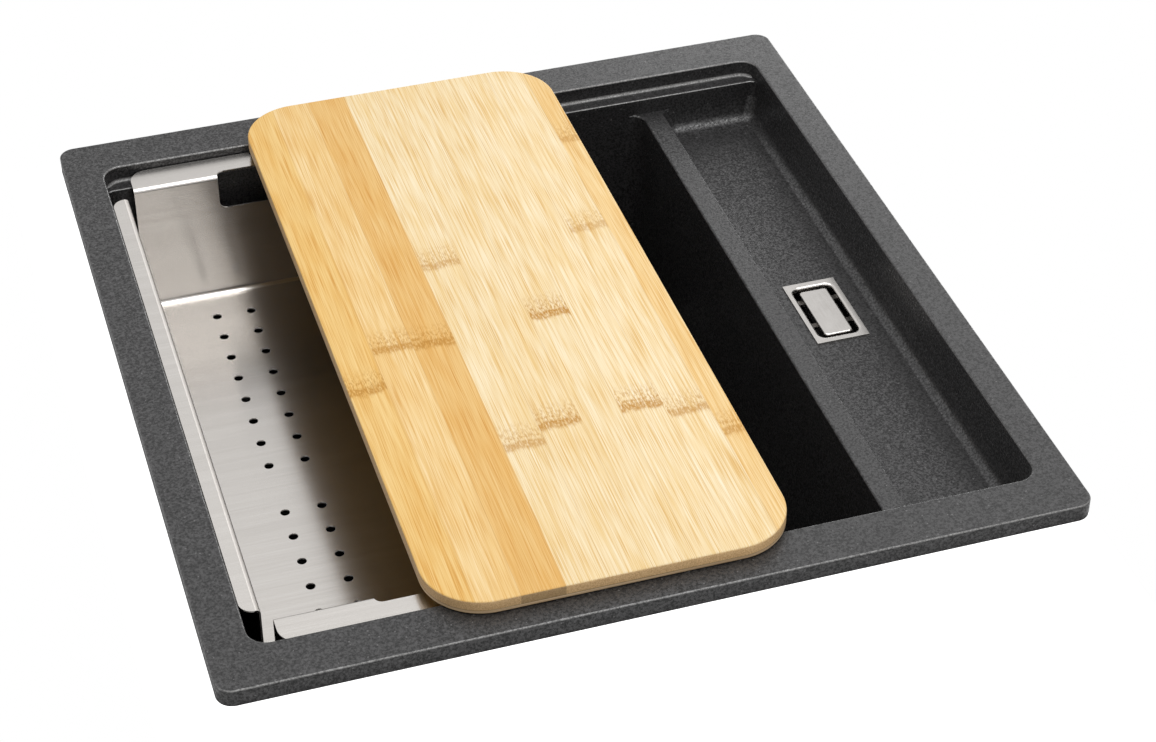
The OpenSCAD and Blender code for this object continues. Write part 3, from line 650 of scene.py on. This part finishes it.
def overflow_cover():
    """The overflow's cover plate, with rounded shoulders."""
    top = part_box("overflow_cover")[1].z
    piece = copy_of("overflow_cover", "overflow_cover_finished")

    def shoulder(edge):
        """The edge around the plate's face."""
        return is_sharp(edge) and edge.is_convex and is_level(edge, top, TIGHT)

    round_edges(piece, 1.0 * MM, shoulder, 4)
    smooth(piece)
    dress(piece, SATIN, "overflow_plate", "brushed_steel", "overflow_cover")


def widen(z, radius):
    """Extrudes the selected ring up to the height and sets its radius, about the z axis."""
    shape = bmesh.from_edit_mesh(bpy.context.object.data)
    start = next(vert for vert in shape.verts if vert.select)
    now = start.co.xy.length
    bpy.ops.mesh.extrude_region_move(TRANSFORM_OT_translate={"value": (0, 0, z - start.co.z)})
    bpy.ops.transform.resize(value=(radius / now, radius / now, 1), center_override=(0, 0, 0),
                             constraint_axis=(True, True, False))


def straight_hose(length, cuff, ribs):
    """The hose along the z axis: one turned rib repeated, plain cuffs at the ends, and a wall thickness."""
    deselect()
    bpy.ops.mesh.primitive_circle_add(vertices=HOSE_SIDES, radius=HOSE_ROOT, location=(0, 0, 0))
    piece = bpy.context.object
    piece.name = "ribbed_hose"
    bpy.ops.object.mode_set(mode="EDIT")
    bpy.ops.mesh.select_all(action="SELECT")
    foot, shoulder = HOSE_ROOT + 0.15 * MM, HOSE_CREST - 0.4 * MM
    for share, radius in ((0.12, foot), (0.27, shoulder), (0.38, HOSE_CREST), (0.62, HOSE_CREST),
                          (0.73, shoulder), (0.88, foot), (1.0, HOSE_ROOT)):
        widen(share * RIB_PITCH, radius)
    bpy.ops.object.mode_set(mode="OBJECT")
    row = piece.modifiers.new("row", "ARRAY")
    row.count = ribs
    row.use_relative_offset = False
    row.use_constant_offset = True
    row.constant_offset_displace = (0, 0, RIB_PITCH)
    row.use_merge_vertices = True
    row.merge_threshold = 0.01 * MM
    bpy.ops.object.modifier_apply(modifier=row.name)

    for end_z, outward in ((0, -1), (ribs * RIB_PITCH, 1)):
        pick_verts(piece, lambda vert: abs(vert.co.z - end_z) < TIGHT)
        for step, radius in ((0.4 * MM, HOSE_ROOT), (1.6 * MM, HOSE_CREST), (cuff, HOSE_CREST)):
            widen(end_z + outward * step, radius)
        bpy.ops.object.mode_set(mode="OBJECT")
    bpy.ops.object.mode_set(mode="EDIT")
    bpy.ops.mesh.select_all(action="SELECT")
    bpy.ops.transform.translate(value=(0, 0, cuff))
    bpy.ops.mesh.normals_make_consistent(inside=False)
    bpy.ops.object.mode_set(mode="OBJECT")
    skin = piece.modifiers.new("skin", "SOLIDIFY")
    skin.thickness = HOSE_WALL
    skin.offset = -1
    bpy.ops.object.modifier_apply(modifier=skin.name)
    return piece


def hose_route(top, end, down, along):
    """The hose's centre line: straight down from the top, a quarter turn, and level to the end."""
    bpy.ops.curve.primitive_bezier_curve_add(location=(0, 0, 0))
    route = bpy.context.object
    points = route.data.splines[0].bezier_points
    points.add(2)
    falling, level = Vector((0, 0, -1)), Vector((-1, 0, 0))
    reach = HOSE_BEND * 4 / 3 * math.tan(math.pi / 8)  # Handles that make a Bezier curve a quarter circle
    stations = (
        (top, falling, down / 3, down / 3),
        (top + falling * down, falling, down / 3, reach),
        (end - level * along, level, reach, along / 3),
        (end, level, along / 3, along / 3),
    )
    for point, (place, ahead, before, after) in zip(points, stations):
        point.handle_left_type = point.handle_right_type = "FREE"
        point.co = place
        point.handle_left = place - ahead * before
        point.handle_right = place + ahead * after
    route.data.resolution_u = 32
    return route


def ribbed_hose():
    """The overflow hose, made straight and then bent along its route."""
    low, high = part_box("overflow_hose")
    top = Vector((high.x - HOSE_CREST, 0, high.z))
    end = Vector((low.x, 0, low.z + HOSE_CREST))
    down = top.z - end.z - HOSE_BEND
    along = top.x - end.x - HOSE_BEND
    length = down + HOSE_BEND * math.pi / 2 + along
    ribs = math.floor((length - 4 * HOSE_CREST) / RIB_PITCH)
    cuff = (length - ribs * RIB_PITCH) / 2
    piece = straight_hose(length, cuff, ribs)
    route = hose_route(top, end, down, along)
    take(piece)
    follow = piece.modifiers.new("follow", "CURVE")
    follow.object = route
    follow.deform_axis = "POS_Z"
    bpy.ops.object.modifier_apply(modifier=follow.name)
    bpy.data.objects.remove(route)
    smooth(piece, 50)
    dress(piece, PLASTIC, "sink", "waste_plastic", "overflow_hose")


def thread_ridge(bottom):
    """The outlet's thread: one ridge wound up around the pipe, from the bottom."""
    deselect()
    bpy.ops.mesh.primitive_circle_add(vertices=4, radius=1, location=(0, 0, 0))
    ridge = bpy.context.object
    bpy.ops.object.mode_set(mode="EDIT")
    shape = bmesh.from_edit_mesh(ridge.data)
    sunk = THREAD_ROOT - 0.3 * MM
    section = ((sunk, 0), (THREAD_CREST, 0.85 * MM), (THREAD_CREST, 1.15 * MM), (sunk, 2.0 * MM))
    for vert, (radius, up) in zip(shape.verts, section):
        vert.co = (radius, 0, up)
    bmesh.update_edit_mesh(ridge.data)
    bpy.ops.object.mode_set(mode="OBJECT")
    wind = ridge.modifiers.new("wind", "SCREW")
    wind.axis = "Z"
    wind.steps = wind.render_steps = 48
    wind.iterations = THREAD_TURNS
    wind.screw_offset = THREAD_PITCH
    bpy.ops.object.modifier_apply(modifier=wind.name)
    bpy.ops.object.mode_set(mode="EDIT")
    bpy.ops.mesh.select_all(action="SELECT")
    bpy.ops.mesh.fill_holes(sides=0)
    bpy.ops.mesh.normals_make_consistent(inside=False)
    bpy.ops.transform.translate(value=(WASTE_AXIS.x, 0, bottom + THREAD_START))
    bpy.ops.object.mode_set(mode="OBJECT")
    smooth(ridge, 30)
    return ridge


def threaded_waste():
    """The waste body, with its outlet drawn in to the thread's root and the thread wound on it."""
    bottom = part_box("waste_body")[0].z
    body = copy_of("waste_body", "waste_body_finished")
    pick_verts(body, lambda vert: abs((vert.co - WASTE_AXIS).xy.length - THREAD_CREST) < 0.1 * MM
               and vert.co.z < bottom + OUTLET_LENGTH + 0.1 * MM)
    draw_in = THREAD_ROOT / THREAD_CREST
    bpy.ops.transform.resize(value=(draw_in, draw_in, 1), center_override=(WASTE_AXIS.x, 0, bottom))
    bpy.ops.object.mode_set(mode="OBJECT")
    round_edges(body, 0.5 * MM, is_corner)
    smooth(body)
    ridge = thread_ridge(bottom)
    deselect()
    ridge.select_set(True)
    body.select_set(True)
    bpy.context.view_layer.objects.active = body
    bpy.ops.object.join()
    dress(body, PLASTIC, "sink", "waste_plastic", "waste_body")


def small_fittings():
    """The fittings whose forms are right as they are. Their edges are eased, by radii in millimetres."""
    eased = {
        "colander_rests": 0.5, "overflow_screws": 0.2,
        "clip_jaw_front_left": 0.3, "clip_jaw_front_right": 0.3, "clip_jaw_back_left": 0.3,
        "clip_jaw_back_right": 0.3, "clip_screws": 0.2, "waste_flange": 0.25,
        "basket_cup": 0.2, "basket_knob": 0.4, "hose_nut_upper": 0.5, "hose_nut_lower": 0.5,
        "overflow_housing": 0.5,
    }
    record = frame["record"]
    slots = {part["node"]: part["material_slot"] for part in record["subparts"]}
    bodies = {node: body for body, nodes in record["behaviour"]["bodies"].items() for node in nodes}
    for node, radius in eased.items():
        piece = copy_of(node, node + "_finished")
        round_edges(piece, radius * MM, is_corner)
        smooth(piece)
        finish = DARK if node == "overflow_housing" else FINISHES[slots[node]]
        dress(piece, finish, bodies[node], slots[node], node)


# ---- Camera, light and stage ----

def make_camera():
    """The photograph's camera, aimed from its azimuth and elevation."""
    azimuth, elevation = math.radians(VIEW_AZIMUTH), math.radians(VIEW_ELEVATION)
    back = Vector((
        math.sin(azimuth) * math.cos(elevation),
        -math.cos(azimuth) * math.cos(elevation),
        math.sin(elevation),
    ))
    data = bpy.data.cameras.new("photo_camera")
    data.lens = LENS
    data.sensor_width = 36
    camera = bpy.data.objects.new("photo_camera", data)
    bpy.context.scene.collection.objects.link(camera)
    camera.location = VIEW_TARGET + back * VIEW_DISTANCE
    turn = (-back).to_track_quat("-Z", "Y").to_matrix().to_4x4()
    roll = Matrix.Rotation(math.radians(VIEW_ROLL), 4, "Z")
    camera.matrix_world = Matrix.Translation(camera.location) @ turn @ roll
    bpy.context.scene.camera = camera


def softbox(name, place, size, power):
    """A rectangular light that aims at the origin."""
    data = bpy.data.lights.new(name, "AREA")
    data.shape = "RECTANGLE"
    data.size, data.size_y = size
    data.energy = power
    light = bpy.data.objects.new(name, data)
    bpy.context.scene.collection.objects.link(light)
    light.location = place
    light.rotation_euler = (Vector((0, 0, 0)) - Vector(place)).to_track_quat("-Z", "Y").to_euler()


def make_world():
    """A white studio: full strength to the camera and in reflections, and a soft fill on the object."""
    world = bpy.data.worlds.new("studio")
    bpy.context.scene.world = world
    world.use_nodes = True
    tree = world.node_tree
    background = tree.nodes["Background"]
    background.inputs["Color"].default_value = (1, 1, 1, 1)
    path = tree.nodes.new("ShaderNodeLightPath")
    seen = tree.nodes.new("ShaderNodeMath")
    seen.operation = "MAXIMUM"
    tree.links.new(path.outputs["Is Camera Ray"], seen.inputs[0])
    tree.links.new(path.outputs["Is Glossy Ray"], seen.inputs[1])
    strength = tree.nodes.new("ShaderNodeMix")
    strength.data_type = "FLOAT"
    strength.inputs["A"].default_value = AMBIENT
    strength.inputs["B"].default_value = 1
    tree.links.new(seen.outputs[0], strength.inputs["Factor"])
    tree.links.new(strength.outputs["Result"], background.inputs["Strength"])


def make_stage():
    """A white worktop that the sink hangs in."""
    middle, size = (WORKTOP_LOW + WORKTOP_HIGH) / 2, WORKTOP_HIGH - WORKTOP_LOW
    deselect()
    bpy.ops.mesh.primitive_cube_add(size=1, location=middle, scale=size)
    worktop = bpy.context.object
    worktop.name = "worktop"
    bpy.ops.object.transform_apply(location=True, rotation=False, scale=True)
    bpy.ops.mesh.primitive_cube_add(size=1, location=(0, 0, 0), scale=CUT_OUT)
    hole = bpy.context.object
    bpy.ops.object.transform_apply(location=True, rotation=False, scale=True)
    cut = worktop.modifiers.new("cut_out", "BOOLEAN")
    cut.object = hole
    cut.operation = "DIFFERENCE"
    take(worktop)
    bpy.ops.object.modifier_apply(modifier=cut.name)
    bpy.data.objects.remove(hole)
    make = Maker("white_worktop")
    make.set(Base_Color=(0.8, 0.8, 0.8, 1), Roughness=0.6, Emission_Color=(1, 1, 1, 1))
    path = make.tree.nodes.new("ShaderNodeLightPath")
    make.into(path.outputs["Is Camera Ray"], "Emission Strength")
    worktop.data.materials.append(make.material)


deselect()
make_camera()
make_world()
make_stage()
for light_name, (light_place, light_size, light_power) in SOFTBOXES.items():
    softbox(light_name, light_place, light_size, light_power)

STONE = granite_composite()
STEEL = brushed_steel()
SATIN = satin_steel()
WOOD = bamboo()
RUBBER = seal_rubber()
PLASTIC = waste_plastic()
BRASS = brass()
DARK = black_plastic()
FINISHES = {
    "granite_composite": STONE, "brushed_steel": SATIN, "bamboo": WOOD,
    "seal_rubber": RUBBER, "waste_plastic": PLASTIC, "brass": BRASS,
}
for part in frame["record"]["subparts"]:
    for slot in frame["nodes"][part["node"]].material_slots:
        slot.material = FINISHES[part["material_slot"]]

granite_sink()
folded_colander()
bamboo_board()
overflow_frame()
overflow_cover()
ribbed_hose()
threaded_waste()
small_fittings()

bpy.context.scene.view_settings.view_transform = "Standard"
